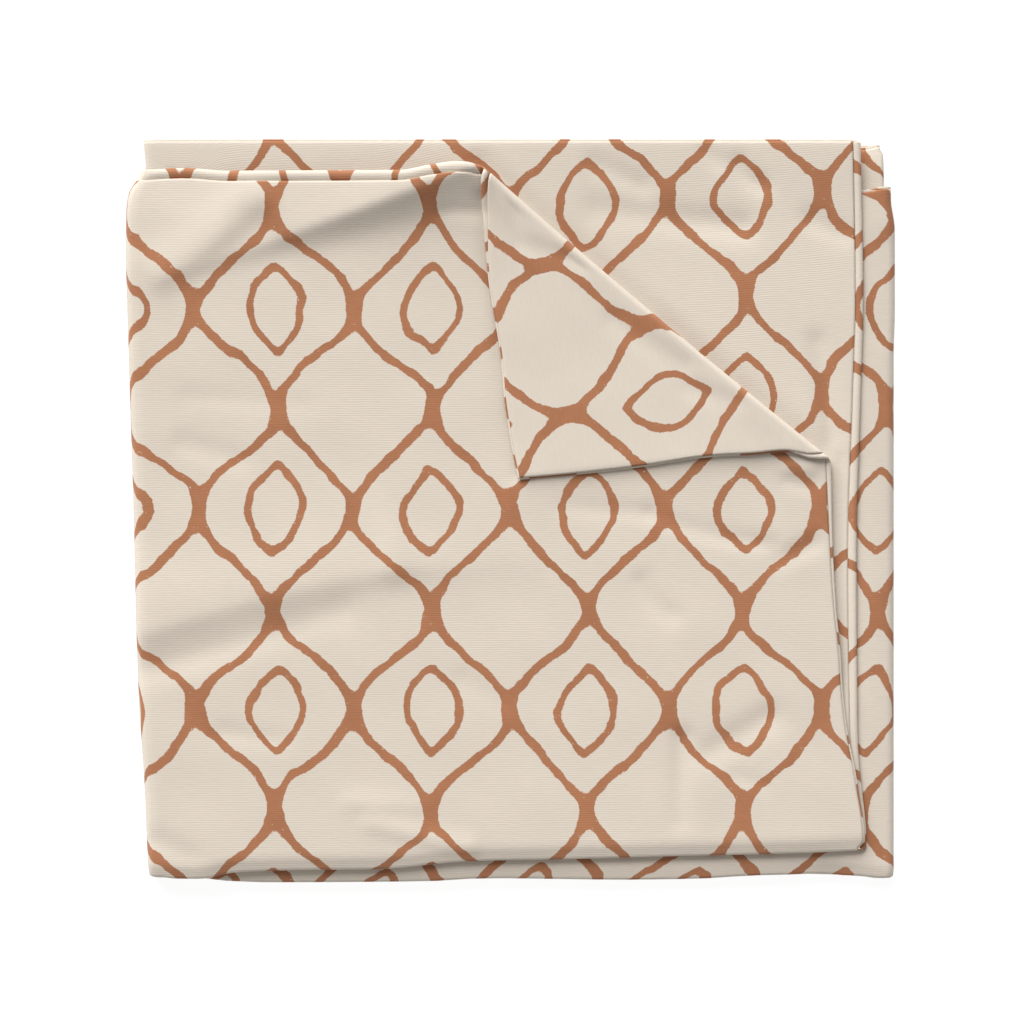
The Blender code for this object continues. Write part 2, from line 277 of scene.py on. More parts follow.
# The uppermost layer dips beside the turned corner, but the corner itself doesn't
BESIDE_CORNER = (
    Wrinkle("hollow beside turned corner", -22, 235, 6, 26, 0, -2.8, -3.0, 6, 7, 1.2),
)
INNER_TOP_WRINKLES = (
    Wrinkle("hollow under the far hem", -275, 249, -35, 254, 0, -1.0, -1.0, 11, 11),
    Wrinkle("hollow along the crease", -22, 262, 236, 42, 2.3, -2.1, -2.1, 8, 9),
    Wrinkle("low band beside the top's edge", 250, 40, 254, -130, 0, -2.5, -1.9, 7, 6),
    Wrinkle("rise to the far edge", 10, 286, 262, 286, 0, 2.2, 2.2, 40, 40),
    Wrinkle("far dip", 66, 262, 101, 245, 0, -1.3, -1.6, 8, 8),
    Wrinkle("far small dip", 149, 272, 157, 263, 0, -1.4, -1.4, 6, 6),
    Wrinkle("far curved dip", 173, 262, 190, 246, 2, -1.7, -2.1, 7, 7),
    Wrinkle("long band", 66, 227, 176, 215, 0, -1.2, -2.4, 11, 10),
    Wrinkle("right dip", 228, 220, 252, 208, 0, -1.6, -1.5, 8, 9),
    Wrinkle("hollow by crease end", 231, 128, 244, 52, 0, -1.6, -2.8, 6, 9),
)
MIDDLE_WRINKLES = (
    Wrinkle("wedge at near edge", 242, -277, 258, -279, 0, -2.6, -2.3, 8, 9),
    Wrinkle("hollow under the crease end", 236, 125, 248, 40, 0, -0.6, -1.6, 12, 11),
    Wrinkle("hollow under the low band", 249, 30, 254, -130, 0, -1.4, -0.8, 12, 9),
    Wrinkle("rounding at right fold", 292, 200, 292, -260, 0, -1.9, -2.2, 13, 13),
    Wrinkle("swell in strip", 284, 120, 284, -60, 0, 0.6, 0.4, 9, 9),
)
CORNER_WRINKLES = (
    Wrinkle("far dip", 18, 198, 56, 187, 0, -1.1, -1.3, 8, 8),
    Wrinkle("valley along crease", 79, 144, 131, 109, 0, -1.0, -1.2, 9, 8),
    Wrinkle("valley along crease, end", 136, 92, 170, 81, 0, -1.0, -0.8, 8, 8),
    Wrinkle("left crease", 0, 252, 8, 202, 0, -1.7, -1.1, 6, 6),
)


class Ply(NamedTuple):
    """One ply of the half fold: the numbers of its three layers, and where its edges run."""

    top_layer: int
    base_layer: int
    middle_layer: int
    left_fold: tuple
    right_fold: tuple
    top_end: tuple
    end_roll: tuple
    top_hem: tuple
    top_roll: tuple
    middle_hem: tuple
    hem_at: float


OUTER = Ply(5, 0, 3, LEFT_FOLD_OUTER, RIGHT_FOLD_OUTER, TOP_END_OUTER, END_ROLL_OUTER,
            TOP_HEM_OUTER, TOP_ROLL_OUTER, MIDDLE_HEM_OUTER, OUTER_HEM_AT)
INNER = Ply(4, 1, 2, LEFT_FOLD_INNER, RIGHT_FOLD_INNER, TOP_END_INNER, END_ROLL_INNER,
            TOP_HEM_INNER, TOP_ROLL_INNER, MIDDLE_HEM_INNER, INNER_HEM_AT)

# The grid: steps across each region of the cloth, and along each ply
REGION_STEPS = {"top": 128, "left fold": 12, "base": 16, "right fold": 10, "middle": 25}
OUTER_STEPS = 128
INNER_FINE_STEPS = 46
INNER_COARSE_STEPS = 19
INNER_FINE_SHARE = 0.46
HALF_FOLD_STEPS = 8
CRISP_STEP = 1.2 * MM
TOP_LENGTH = 528 * MM

# Steps grow towards the hidden end inside the stack
INSIDE_STEPS_GROW = 1.35

# The print on the rolled hems is that of the cloth's other face, so it is shifted
ROLL_PRINT_SHIFT = np.array((12.0, 61.0)) * MM

# The ogees' sway, how softly their lines join, and the small ogees' place and line
OGEE_SWAY = 0.55
LINES_JOIN_IN = 15.0
SMALL_OGEE = 0.19
SMALL_OGEE_SOFT = 0.09
SMALL_OGEE_LINE = 0.42
FAR_OUT = 100.0

# Where the softbox stands, before it is raised, and where the camera looks down
SOFTBOX_AT = (-1.05, 2.81, 3.0)
LOOK_AT = np.array((1.9, -1.5, 16.0)) * MM
FLOOR_HALF = 12.0
FLOOR_Z = -0.2 * MM
SENSOR_WIDTH = 36.0


class ClothSizes(bpy.types.PropertyGroup):
    """The sizes of the cloth that a user would change."""

    sheet: FloatProperty(
        name="Sheet", description="Thickness of the cloth between its hems",
        default=1.5 * MM, min=0.8 * MM, max=2.2 * MM, unit="LENGTH", precision=4)
    crease_radius: FloatProperty(
        name="Crease radius", description="Radius of the roll where the corner turns back",
        default=3.0 * MM, min=2 * MM, max=5 * MM, unit="LENGTH", precision=4)
    loft: FloatProperty(
        name="Loft", description="How far the uppermost layer rises between its edges",
        default=1.0 * MM, min=0.0, max=4 * MM, unit="LENGTH", precision=4)
    wrinkles: FloatProperty(
        name="Wrinkles", description="Height of the wrinkles, as a share of the shown ones",
        default=1.0, min=0.0, max=1.3, subtype="FACTOR")


class PrintLook(bpy.types.PropertyGroup):
    """The block print, the ground and the weave."""

    ground: FloatVectorProperty(
        name="Ground", description="Colour of the unprinted cotton",
        default=RECORD_CREAM, min=0.0, max=1.0, subtype="COLOR")
    ink: FloatVectorProperty(
        name="Ink", description="Colour of the printed lines",
        default=(0.416, 0.174, 0.082), min=0.0, max=1.0, subtype="COLOR")
    ogee_width: FloatProperty(
        name="Ogee width", description="Width of one ogee of the lattice",
        default=118 * MM, min=40 * MM, max=400 * MM, unit="LENGTH")
    ogee_height: FloatProperty(
        name="Ogee height", description="Height of one ogee of the lattice",
        default=152 * MM, min=40 * MM, max=500 * MM, unit="LENGTH")
    line: FloatProperty(
        name="Line", description="Width of a printed line",
        default=6.5 * MM, min=1 * MM, max=20 * MM, unit="LENGTH", precision=4)
    rib: FloatProperty(
        name="Rib pitch", description="Distance between the ribs of the weave",
        default=1.7 * MM, min=0.5 * MM, max=6 * MM, unit="LENGTH", precision=4)
    roughness: FloatProperty(
        name="Roughness", description="Roughness of the cotton",
        default=0.9, min=0.0, max=1.0, subtype="FACTOR")


class StageLook(bpy.types.PropertyGroup):
    """The floor, the light and the camera."""

    floor: FloatVectorProperty(
        name="Floor", description="Colour of the floor",
        default=(0.15, 0.15, 0.15), min=0.0, max=1.0, subtype="COLOR")
    glow: FloatProperty(
        name="Glow", description="Light from the floor itself, which keeps it white",
        default=0.92, min=0.0, max=2.0)
    sky: FloatProperty(
        name="Sky", description="Strength of the even light from all round",
        default=0.32, min=0.0, max=5.0)
    softbox: FloatProperty(
        name="Softbox", description="Strength of the large distant light at the far left",
        default=4.4, min=0.0, max=20.0)
    softbox_height: FloatProperty(
        name="Softbox height", description="Angle of the light above the floor",
        default=math.radians(30), min=0.2, max=math.pi / 2, subtype="ANGLE")
    softbox_spread: FloatProperty(
        name="Softbox spread", description="How wide the light is, seen from the cloth",
        default=math.radians(50), min=0.0, max=math.pi, subtype="ANGLE")
    frame_width: FloatProperty(
        name="Frame width", description="Width of what the camera sees at the cloth",
        default=0.775, min=0.1, max=5.0, unit="LENGTH")
    lens: FloatProperty(
        name="Lens", description="Focal length of the camera, in millimetres",
        default=200.0, min=20.0, max=400.0)


def mix(a, b, share):
    """From a to b by a share of the way."""
    return a + (b - a) * share


def ease(share):
    """0 to 1, with no slope at its ends: three times the square less twice the cube."""
    share = np.clip(share, 0.0, 1.0)
    return share * share * (3.0 - 2.0 * share)


def round_over(share):
    """0 to 1, as the height of a quarter circle along its run."""
    return np.sqrt(1.0 - (1.0 - np.clip(share, 0.0, 1.0)) ** 2)


def half_turn(share):
    """0 to 1, as the height of a point on a half circle."""
    return (1.0 - np.cos(np.pi * share)) / 2.0


def tent(off, soft=0.3):
    """About 1 at the crest, falling in a straight line towards 0 at 1, and eased off there.

    It is the logarithm of 1 plus the exponential of what is left to 1, both over soft.
    """
    return soft * np.log1p(np.exp((1.0 - off) / soft))


def through(table, place):
    """A smooth line through a table's rows, read at places in its first column.

    Between two rows it is the cubic that has each row's slope there. A row's slope is the
    weighted harmonic mean of those to its neighbours, or none where they differ in sign, so
    the line never swings past its rows. Past the table's ends it stays level.
    """
    places, values = np.array(table, dtype=float).T * MM
    spans = np.diff(places)
    rises = np.diff(values) / spans
    before, after = rises[:-1], rises[1:]
    heavy, light = 2 * spans[1:] + spans[:-1], spans[1:] + 2 * spans[:-1]
    same = before * after > 0
    inverse = heavy / np.where(same, before, 1.0) + light / np.where(same, after, 1.0)
    slopes = np.concatenate(
        (rises[:1], np.where(same, (heavy + light) / inverse, 0.0), rises[-1:]))
    place = np.clip(place, places[0], places[-1])
    k = np.clip(np.searchsorted(places, place, side="right") - 1, 0, len(places) - 2)
    span = places[k + 1] - places[k]
    t = (place - places[k]) / span
    return (
        (1 + 2 * t) * (1 - t) ** 2 * values[k] + t * (1 - t) ** 2 * span * slopes[k]
        + t * t * (3 - 2 * t) * values[k + 1] + t * t * (t - 1) * span * slopes[k + 1]
    )


def swell(x, y, longest=SWELL):
    """Low swells, -1 to 1: the sum of four sine waves, each shorter and turned by 2.4 radians."""
    height = np.zeros(np.broadcast(x, y).shape)
    for k in range(4):
        length, turn = longest * 0.74**k, 2.4 * k
        run = x * math.cos(turn) + y * math.sin(turn)
        height += np.sin(2 * np.pi * run / length + 1.7 * k) / 4
    return height


def relief(wrinkles, x, y, strength):
    """The height that wrinkles add.

    Each falls off by an exponential of the distance from its bowed line, raised to its power,
    or as a tent, times a bell curve of the distance past its ends. Its height eases from end
    to end.
    """
    height = np.zeros(np.broadcast(x, y).shape)
    for w in wrinkles:
        run_x, run_y = (w.x1 - w.x0) * MM, (w.y1 - w.y0) * MM
        length = math.hypot(run_x, run_y)
        from_x, from_y = x - w.x0 * MM, y - w.y0 * MM
        along = (from_x * run_x + from_y * run_y) / length
        right = (from_x * run_y - from_y * run_x) / length
        share = np.clip(along / length, 0.0, 1.0)
        right = right - w.bow * MM * 4 * share * (1 - share)
        past = np.maximum(np.maximum(-along, along - length), 0.0)
        spread = MM * mix(1.0, w.spread, share)
        off = np.abs(right / (np.where(right > 0, w.right, w.left) * spread))
        side = tent(off) if w.power == 1 else np.exp(-(off**w.power))
        fade = np.exp(-((past / (min(w.right, w.left) * spread)) ** 2))
        height += mix(w.h0, w.h1, ease(share)) * MM * side * fade
    return height * strength


def near_droop(layer, x, y):
    """How far a layer sinks towards its half fold: the square of how close it is to it."""
    fold = TOP_HALF_FOLD if layer >= INNER.top_layer else MIDDLE_HALF_FOLD
    close = 1.0 - np.clip((y - through(fold, x)) / NEAR_DROOP_IN, 0.0, 1.0)
    return LAYERS[layer].droop * MM * close * close


def top_height(x, y, sizes):
    """The height of the uppermost layer's middle surface, before its corner is turned back.

    It rises from its free hems to its loft, rounds over at the half fold, and has wrinkles.
    """
    from_hem = through(TOP_HEM_OUTER, x) - y
    from_end = through(TOP_END_OUTER, y) - x
    from_fold = y - through(TOP_HALF_FOLD, x)
    loft = mix(-EDGE_DROP, sizes.loft, ease(np.minimum(from_hem, from_end) / EDGE_SETTLES_IN))
    bumps = relief(TOP_WRINKLES + BESIDE_CORNER, x, y, sizes.wrinkles)
    bumps += LAYERS[OUTER.top_layer].swell * MM * swell(x, y, TOP_SWELL) * sizes.wrinkles
    fade = round_over(from_fold / HALF_FOLD_SETTLES_IN)
    level = sizes.sheet / 2 + OUTER.top_layer * LAYER_STEP
    level = level - HALF_FOLD_DROP * (1 - fade) - near_droop(OUTER.top_layer, x, y)
    return level + (loft + bumps) * fade


def layer_height(layer, x, y, thickness, hang, sizes):
    """The height of any layer's middle surface. The lowest one lies flat on the table."""
    if layer == OUTER.base_layer:
        return np.broadcast_to(thickness / 2, np.broadcast(x, y, thickness).shape)
    if layer == OUTER.top_layer:
        return top_height(x, y, sizes)
    own = LAYERS[layer]
    wrinkles = INNER_TOP_WRINKLES if layer == INNER.top_layer else MIDDLE_WRINKLES
    height = sizes.sheet / 2 + layer * LAYER_STEP
    height = height - own.sag * LAYER_STEP * ease((y - SAG_FROM) / (SAG_TO - SAG_FROM))
    height = height + own.swell * MM * swell(x, y) - near_droop(layer, x, y)
    height = height + relief(wrinkles, x, y, sizes.wrinkles * own.wrinkles)
    return height - hang * own.hem_drop * MM


def columns():
    """Each region's columns: their shares across it, and their shares of the hem's roll."""
    roll = np.array([row[0] for row in ROLL_SECTION])
    plan = {}
    for region, steps in REGION_STEPS.items():
        share = np.arange(1, steps + 1) / steps
        if region == "middle":
            share = share**INSIDE_STEPS_GROW
        plan[region] = (share, np.ones(steps))
    top, edge = plan["top"]
    near = np.array((0.0, CRISP_STEP / TOP_LENGTH))
    plan["top"] = (
        np.concatenate((np.zeros(len(roll)), near, top)),
        np.concatenate((roll, np.ones(2), edge)),
    )
    middle, edge = plan["middle"]
    plan["middle"] = (
        np.concatenate((middle, np.ones(len(roll)))),
        np.concatenate((edge, roll[::-1])),
    )
    return plan


def ply_rows(steps):
    """A ply's rows from its hem: the shares up from the half fold, and those of the roll."""
    roll = np.array([row[0] for row in ROLL_SECTION])
    up = np.concatenate((np.ones(len(roll)), (1.0, 1.0 - CRISP_STEP / TOP_LENGTH), steps))
    edge = np.concatenate((roll, np.ones(2 + len(steps))))
    return up, edge


def rolled(shares, column, between):
    """A column of the roll's section at shares of its width, or its value between the hems."""
    section = np.array(ROLL_SECTION)
    places = np.append(section[:, 0], 1.0)
    return np.interp(shares, places, np.append(section[:, column], between))


def fold_ply(ply, up, edge, plan, sizes):
    """One ply, folded in three: its points, flat places, thickness, and how its hems hang.

    Each is an array of columns by rows. A fold is a half ellipse between two layers, and the
    left one is squarer. The sheet's flat place across is x on the uppermost third, and then
    runs on by the length of the outer ply round each fold and back along each layer.
    """
    rough_y = mix(HALF_FOLD_AT, ply.hem_at, up) + (1 - edge) * WIDE_ROLL
    inset = (FRAME_SHEET + LAYER_STEP) / 2
    left_radius = (ply.top_layer - ply.base_layer) * LAYER_STEP / 2
    right_radius = (ply.middle_layer - ply.base_layer) * LAYER_STEP / 2
    left_x = through(ply.left_fold, rough_y) + FRAME_SHEET / 2 + left_radius
    right_x = through(ply.right_fold, rough_y) - FRAME_SHEET / 2 - right_radius

    def reach(half_fold, hem, roll, x):
        """From the half fold up to the hem's crisp edge, and on by its roll's width."""
        width = through(roll, x)
        crisp = through(hem, x) - width
        return mix(through(half_fold, x) + inset, crisp, up) + (1 - edge) * width

    left_y = reach(TOP_HALF_FOLD, ply.top_hem, ply.top_roll, left_x)
    right_y = reach(MIDDLE_HALF_FOLD, ply.middle_hem, MIDDLE_ROLL, right_x)

    outer_left = (OUTER.top_layer - OUTER.base_layer) * LAYER_STEP / 2
    outer_right = (OUTER.middle_layer - OUTER.base_layer) * LAYER_STEP / 2
    base_from = through(OUTER.left_fold, rough_y) + FRAME_SHEET / 2 + outer_left
    base_to = through(OUTER.right_fold, rough_y) - FRAME_SHEET / 2 - outer_right
    flat_base = base_from - math.pi * outer_left
    flat_right = flat_base - (base_to - base_from)
    flat_middle = flat_right - math.pi * outer_right

    blocks = []
    for region, (share, side) in plan.items():
        share, side = share[:, None], side[:, None]
        top = region == "top"
        rough_x = mix(through(ply.top_end, rough_y), left_x, share) if top else right_x
        row_width = through(ply.top_roll if top else MIDDLE_ROLL, rough_x)
        side_width = through(ply.end_roll, rough_y) if top else INSIDE_ROLL
        bulk = np.minimum(np.where(side < edge, side_width, row_width) / WIDE_ROLL, 1.0)
        nearest = np.minimum(side, edge)
        wide = rolled(nearest, 1, sizes.sheet / MM) * MM
        thickness = np.where(nearest < 1, mix(PLAIN_EDGE, wide, bulk), sizes.sheet)
        hang = np.where(nearest < 1, mix(1.0, rolled(nearest, 2, 0.0), bulk), 0.0)
        if region == "top":
            width = through(ply.end_roll, rough_y)
            x = mix(through(ply.top_end, rough_y) - width, left_x, share) + (1 - side) * width
            y = reach(TOP_HALF_FOLD, ply.top_hem, ply.top_roll, x)
            z = layer_height(ply.top_layer, x, y, thickness, hang, sizes)
            flat = x
        elif region == "left fold":
            high = layer_height(ply.top_layer, left_x, left_y, thickness, hang, sizes)
            low = layer_height(ply.base_layer, left_x, left_y, thickness, hang, sizes)
            x = left_x - left_radius * np.sin(np.pi * share) ** PRESSED
            y = left_y + 0 * share
            z = mix(high, low, half_turn(share))
            flat = mix(left_x, flat_base, share)
        elif region == "base":
            x, y = mix(left_x, right_x, share), mix(left_y, right_y, share)
            y = y + BASE_INSET * (1 - up) * np.sqrt(np.sin(np.pi * share))
            z = layer_height(ply.base_layer, x, y, thickness, hang, sizes)
            flat = mix(flat_base, flat_right, share)
        elif region == "right fold":
            low = layer_height(ply.base_layer, right_x, right_y, thickness, hang, sizes)
            high = layer_height(ply.middle_layer, right_x, right_y, thickness, hang, sizes)
            x = right_x + right_radius * np.sin(np.pi * share)
            y = right_y + 0 * share
            z = mix(low, high, half_turn(share))
            flat = mix(flat_right, flat_middle, share)
        else:
            inside = through(INSIDE_END, rough_y) + INSIDE_ROLL
            x = mix(right_x, inside, share) - (1 - side) * INSIDE_ROLL
            y = reach(MIDDLE_HALF_FOLD, ply.middle_hem, MIDDLE_ROLL, x)
            z = layer_height(ply.middle_layer, x, y, thickness, hang, sizes)
            flat = flat_middle - (right_x - x)
        shape = (len(share), len(up))
        blocks.append([np.broadcast_to(a, shape) for a in (x, y, z, flat, thickness, hang)])
    return [np.concatenate(parts) for parts in zip(*blocks)]


def fold_whole_cloth(sizes):
    """Both plies and the half fold between them.

    The half fold goes from one ply to the other as a half ellipse, and bulges towards the near
    edge. The flat place along the cloth is y on the outer ply, runs on round the half fold and
    then goes back up the inner ply. Returns points, flat places, thickness, hang, whether a
    point is of the uppermost layer, and whether a face is of a rolled hem.
    """
    plan = columns()
    outer_up = 1.0 - np.arange(1, OUTER_STEPS + 1) / OUTER_STEPS
    fine = 1.0 - INNER_FINE_SHARE * np.arange(1, INNER_FINE_STEPS + 1) / INNER_FINE_STEPS
    left = 1.0 - INNER_FINE_SHARE
    coarse = left * (1.0 - np.arange(1, INNER_COARSE_STEPS + 1) / INNER_COARSE_STEPS)
    outer_rows = ply_rows(outer_up)
    inner_rows = ply_rows(np.concatenate((fine, coarse)))
    outer = fold_ply(OUTER, *outer_rows, plan, sizes)
    inner = [part[:, ::-1] for part in fold_ply(INNER, *inner_rows, plan, sizes)]

    turn = np.arange(1, HALF_FOLD_STEPS) / HALF_FOLD_STEPS
    bend = [mix(a[:, -1:], b[:, :1], half_turn(turn)) for a, b in zip(outer, inner)]
    bend[1] = bend[1] - LAYER_STEP / 2 * np.sin(np.pi * turn)
    x, y, z, across, thickness, hang = (
        np.concatenate(parts, axis=1) for parts in zip(outer, bend, inner)
    )
    arc = math.pi * LAYER_STEP / 2
    fold_y = outer[1][:, -1:]
    along = np.concatenate(
        (outer[1], fold_y - arc * turn, fold_y - arc - (inner[1] - inner[1][:, :1])), axis=1)

    count_x, count_y = x.shape
    is_top = np.zeros(x.shape, dtype=bool)
    is_top[: len(plan["top"][0]), : len(outer_rows[0])] = True
    rolls = len(ROLL_SECTION)
    in_roll = np.zeros((count_x - 1, count_y - 1), dtype=bool)
    in_roll[:rolls], in_roll[-rolls:] = True, True
    in_roll[:, :rolls] = True
    points = np.stack((x, y, z), axis=-1)
    flat = np.stack((across, along), axis=-1)
    return points, flat, thickness, hang, is_top, in_roll


def crease_frame():
    """The straight line between the crease's two ends: its length, and the ways along and out."""
    run = CREASE_TO - CREASE_FROM
    length = math.hypot(*run)
    along = run / length
    return length, along, np.array((-along[1], along[0]))


def turn_back(places, sizes):
    """Points of the uppermost layer past the crease, rolled over and laid back on the layer.

    The distance past the bowed crease goes round a half circle of the crease's radius, and on
    from there it goes back over the layer, while the roll's height eases down to the gap.
    """
    length, along, out = crease_frame()
    run = (places - CREASE_FROM) @ along
    share = np.clip(run / length, 0.0, 1.0)
    bow = -CREASE_BOW * 4 * share * (1 - share)
    past = np.maximum((places - CREASE_FROM) @ out - bow, 0.0)
    radius = sizes.crease_radius
    past_roll = past - math.pi * radius
    angle = np.minimum(past / radius, math.pi)
    back = bow + radius * np.sin(angle) - np.maximum(past_roll, 0.0)
    rise = radius * (1 - np.cos(angle))
    rise = mix(rise, CORNER_GAP, ease(past_roll / CORNER_SETTLES_IN))
    rise = rise - CORNER_SINKS * ease(past_roll / CORNER_SINKS_IN)
    x, y = (CREASE_FROM + run[:, None] * along + back[:, None] * out).T
    settled = ease(past_roll / (2 * radius))
    bumps = relief(CORNER_WRINKLES, x, y, sizes.wrinkles) * settled
    bumps = bumps - relief(BESIDE_CORNER, x, y, sizes.wrinkles)
    turned = np.stack((x, y, top_height(x, y, sizes) + rise + bumps), axis=-1)
    return turned, (places - CREASE_FROM) @ out - bow > 0.0


def flat_mesh(flat, thickness, hang, in_roll):
    """The cloth laid flat as a grid of squares, with its UV map in metres.

    The rolled hems show another part of the print, so their faces' places in it are shifted.
    """
    count_x, count_y = flat.shape[:2]
    index = np.arange(count_x * count_y).reshape(count_x, count_y)
    corners = (index[:-1, :-1], index[:-1, 1:], index[1:, 1:], index[1:, :-1])
    faces = np.stack(corners, axis=-1).reshape(-1, 4)
    mesh = bpy.data.meshes.new(CLOTH)
    places = np.concatenate((flat.reshape(-1, 2), np.zeros((flat.size // 2, 1))), axis=1)
    mesh.from_pydata(places, [], faces)
    uv = flat.reshape(-1, 2)[faces.ravel()]
    shift = np.repeat(in_roll.ravel(), 4)[:, None] * ROLL_PRINT_SHIFT
    mesh.uv_layers.new(name="flat cloth").data.foreach_set("uv", (uv + shift).ravel())
    for name, values in (("thickness", thickness), ("hang", hang)):
        layer = mesh.attributes.new(name, "FLOAT", "POINT")
        layer.data.foreach_set("value", np.ascontiguousarray(values, dtype=np.float32).ravel())
    return mesh


def cut_along_crease(mesh):
    """Cuts the flat cloth along lines beside the crease, so that it can roll there."""
    _, _, out = crease_frame()
    bm = bmesh.new()
    bm.from_mesh(mesh)
    for k in CREASE_CUTS:
        line = CREASE_FROM + CREASE_CUT_STEP * k * out
        geometry = [*bm.verts, *bm.edges, *bm.faces]
        bmesh.ops.bisect_plane(
            bm, geom=geometry, dist=CUT_MERGE, plane_co=(*line, 0.0), plane_no=(*out, 0.0))
    bm.to_mesh(mesh)
    bm.free()


def point_values(mesh, name):
    values = np.empty(len(mesh.vertices), dtype=np.float32)
    mesh.attributes[name].data.foreach_get("value", values)
    return values


def make_sheet(sizes):
    """The folded sheet's middle surface, and each of its points' thickness."""
    points, flat, thickness, hang, is_top, in_roll = fold_whole_cloth(sizes)
    mesh = flat_mesh(flat, thickness, hang, in_roll)
    cut_along_crease(mesh)
    places = np.empty(len(mesh.vertices) * 3, dtype=np.float32)
    mesh.vertices.foreach_get("co", places)
    places = places.reshape(-1, 3)[:, :2].astype(float)
    count = is_top.size
    if not np.allclose(places[:count], flat.reshape(-1, 2), atol=1e-5):
        raise RuntimeError("the cuts along the crease moved the cloth's own points")
    on_top = np.ones(len(places), dtype=bool)
    on_top[:count] = is_top.ravel()
    folded = np.empty((len(places), 3))
    folded[:count] = points.reshape(-1, 3)
    new = places[count:]
    folded[count:] = np.column_stack((new, top_height(new[:, 0], new[:, 1], sizes)))
    turned, past = turn_back(folded[:, :2], sizes)
    over = on_top & past
    folded[over] = turned[over]
    drop = LAYERS[OUTER.top_layer].hem_drop * MM
    hang = point_values(mesh, "hang")
    folded[on_top, 2] -= hang[on_top] * drop
    folded[over, 2] -= hang[over] * CORNER_HEM_DROP
    mesh.vertices.foreach_set("co", folded.astype(np.float32).ravel())
    thickness = point_values(mesh, "thickness")
    for name in ("thickness", "hang"):
        mesh.attributes.remove(mesh.attributes[name])
    mesh.update()
    mesh.shade_smooth()
    return mesh, thickness


def remove_piece(name):
    old = bpy.data.objects.get(name)
    if old:
        bpy.data.objects.remove(old, do_unlink=True)


class Amount:
    """A number that a shader works out. Sums on it add Math nodes."""

    def __init__(self, shader, socket):
        self.shader, self.socket = shader, socket

    def math(self, operation, *others, clamp=False):
        settings = {"operation": operation, "use_clamp": clamp}
        return self.shader.add("ShaderNodeMath", settings, self, *others).amount()

    def __add__(self, other):
        return self.math("ADD", other)

    def __sub__(self, other):
        return self.math("SUBTRACT", other)

    def __rsub__(self, other):
        return self.shader.math("SUBTRACT", other, self)

    def __mul__(self, other):
        return self.math("MULTIPLY", other)

    def __truediv__(self, other):
        return self.math("DIVIDE", other)

    def __pow__(self, other):
        return self.math("POWER", other)

    def __abs__(self):
        return self.math("ABSOLUTE")

    __radd__ = __add__
    __rmul__ = __mul__


class Added:
    """A node that was added, and its outputs."""

    def __init__(self, shader, node):
        self.shader, self.node = shader, node

    def amount(self, output=0):
        return Amount(self.shader, self.node.outputs[output])

    def output(self, output=0):
        return self.node.outputs[output]


class Shader:
    """The nodes of one material."""

    def __init__(self, name):
        self.material = bpy.data.materials.new(name)
        self.material.use_nodes = True
        self.tree = self.material.node_tree
        self.surface = self.tree.nodes["Principled BSDF"]

    def add(self, kind, settings, *values, **named):
        """Adds a node of a kind, makes its settings, then fills its sockets."""
        node = self.tree.nodes.new(kind)
        for name, value in settings.items():
            setattr(node, name, value)
        for key, value in [*enumerate(values), *named.items()]:
            self.fill(node.inputs[key], value)
        return Added(self, node)

    def fill(self, socket, value):
        if isinstance(value, Amount):
            value = value.socket
        if isinstance(value, bpy.types.NodeSocket):
            self.tree.links.new(value, socket)
        elif value is not None:
            socket.default_value = value

    def math(self, operation, *values, clamp=False):
        settings = {"operation": operation, "use_clamp": clamp}
        return self.add("ShaderNodeMath", settings, *values).amount()

    def noise(self, place, scale, detail=2.0, rough=0.5):
        settings = {"noise_dimensions": "2D"}
        return self.add("ShaderNodeTexNoise", settings, Vector=place, Scale=scale,
                        Detail=detail, Roughness=rough)

    def place(self, x, y):
        return self.add("ShaderNodeCombineXYZ", {}, x, y, 0.0).output()

    def blend(self, share, a, b):
        settings = {"data_type": "RGBA"}
        added = self.add("ShaderNodeMix", settings)
        for key, value in ((0, share), (6, a), (7, b)):
            self.fill(added.node.inputs[key], value)
        return added.output(2)


def ogee_print(shader, x, y, look):
    """How far a place is inside the print's lines, in millimetres.

    Two families of lines cross: the whole numbers of x over the ogee's width plus and minus y
    over its height, with y swayed by a sine so that the lines stand up where they meet. A
    smooth least of the two distances fills the corners where they cross. In every second
    ogee stands a small one like it, where the distance from its middle has one value.
    """
    width, height = look.ogee_width / MM, look.ogee_height / MM
    phase = y * (4 * math.pi / height)
    row = y / height - phase.math("SINE") * (OGEE_SWAY / (4 * math.pi))
    steep = 1.0 - phase.math("COSINE") * OGEE_SWAY
    first, second = x / width + row, x / width - row
    reach = (steep * steep / height**2 + 1.0 / width**2) ** -0.5
    first_line = first.math("PINGPONG", 0.5) * reach
    second_line = second.math("PINGPONG", 0.5) * reach
    nearest = first_line.math("SMOOTH_MIN", second_line, LINES_JOIN_IN)
    lattice = nearest - look.line / MM / 2

    first_in = abs(first.math("FRACT") - 0.5)
    second_in = abs(second.math("FRACT") - 0.5)
    from_middle = first_in.math("SMOOTH_MAX", second_in, SMALL_OGEE_SOFT)
    ring = abs(from_middle - SMALL_OGEE) * reach - look.line / MM * SMALL_OGEE_LINE
    count = first.math("FLOOR") + second.math("FLOOR")
    ring = ring + count.math("PINGPONG", 1.0) * FAR_OUT
    return -1.0 * lattice.math("MINIMUM", ring)


